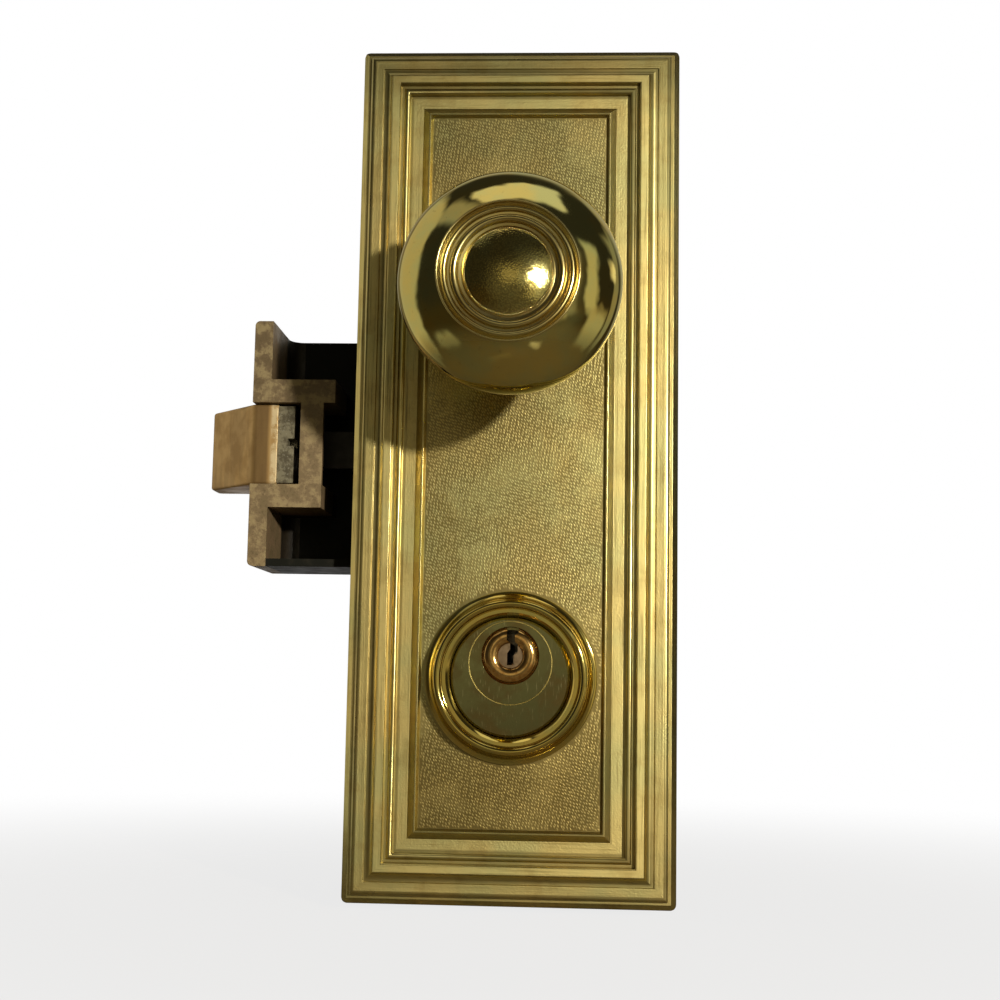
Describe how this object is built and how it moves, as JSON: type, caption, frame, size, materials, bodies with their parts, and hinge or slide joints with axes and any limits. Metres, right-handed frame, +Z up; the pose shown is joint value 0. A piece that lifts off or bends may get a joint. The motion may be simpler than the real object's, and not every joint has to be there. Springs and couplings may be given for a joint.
{
  "type": "mortise knob lockset",
  "caption": "Brass mortise lockset: moulded escutcheon, ball knob and keyed cylinder, lock case behind with bronze front and bevelled latch bolt.",
  "frame": {"origin": "centre of the escutcheon's back plane, on the door's outside face", "axes": "+Y into the door, +Z up the plate as the picture shows it, +X to the right, away from the latch"},
  "size_m": [0.1253, 0.1179, 0.219],
  "materials": {
    "plate_brass": "cast and relieved, polished mouldings, stippled field",
    "polished_brass": "polished and lacquered",
    "cylinder_brass": "fine turned, dulled",
    "plug_brass": "turned, worn",
    "hub_bronze": "cast",
    "front_bronze": "cast bronze, dark patina, worn edges",
    "bolt_bronze": "satin bronze",
    "case_black": "black japanned steel",
    "tail_steel": "plated steel, dull",
    "plain_steel": "zinc plated"
  },
  "bodies": {
    "lock": {"escutcheon": "plate_brass", "knob_bush": "polished_brass", "bush_nut": "plain_steel", "cylinder_collar": "polished_brass", "cylinder_shell": "cylinder_brass", "driver_pins": "plug_brass", "chamber_caps": "plug_brass", "cylinder_ring": "cylinder_brass", "cylinder_set_screw": "plain_steel", "case": "case_black", "case_cover": "case_black", "case_posts": "plain_steel", "plate_spacers": "plain_steel", "case_screws": "plain_steel", "front": "front_bronze", "front_screws": "plain_steel", "latch_spring": "plain_steel", "spring_bracket": "plain_steel", "bracket_rivets": "plain_steel", "lever_stud": "plain_steel", "mounting_posts": "plain_steel"},
    "knob_turning": {"knob": "polished_brass", "knob_shank": "polished_brass", "knob_set_screw": "plain_steel", "shank_ring": "plain_steel", "spindle": "plain_steel", "hub": "hub_bronze"},
    "latch": {"latch_bolt": "bolt_bronze", "bolt_pins": "plain_steel", "latch_tail": "tail_steel", "spring_pin": "plain_steel", "spring_washer": "plain_steel"},
    "plug": {"cylinder_plug": "plug_brass", "key_pins": "plug_brass", "cylinder_cam": "plain_steel", "cam_screws": "plain_steel"},
    "lever": {"key_lever": "plain_steel"}
  },
  "joints": [
    {"name": "knob_turn", "type": "hinge", "parent": "lock", "child": "knob_turning", "pos_m": [0, 0, 0.0365], "axis": [0, -1, 0], "range_deg": [0, 45], "stiffness_Nm_per_rad": 0.13, "springref_deg": -37.82},
    {"name": "latch_slide", "type": "slide", "parent": "lock", "child": "latch", "axis": [1, 0, 0], "range_m": [0, 0.0142], "deforming": ["latch_spring"]},
    {"name": "key_turn", "type": "hinge", "parent": "lock", "child": "plug", "pos_m": [0, 0, -0.0482], "axis": [0, -1, 0], "range_deg": [0, 90]},
    {"name": "lever_swing", "type": "hinge", "parent": "lock", "child": "lever", "pos_m": [0.0083, 0, -0.002], "axis": [0, -1, 0], "range_deg": [-34, 0]}
  ],
  "couplings": [
    {"joint": "latch_slide", "follows": "knob_turn", "m_per_rad": 0.01808},
    {"joint": "lever_swing", "follows": "key_turn", "ratio": -0.37649}
  ]
}
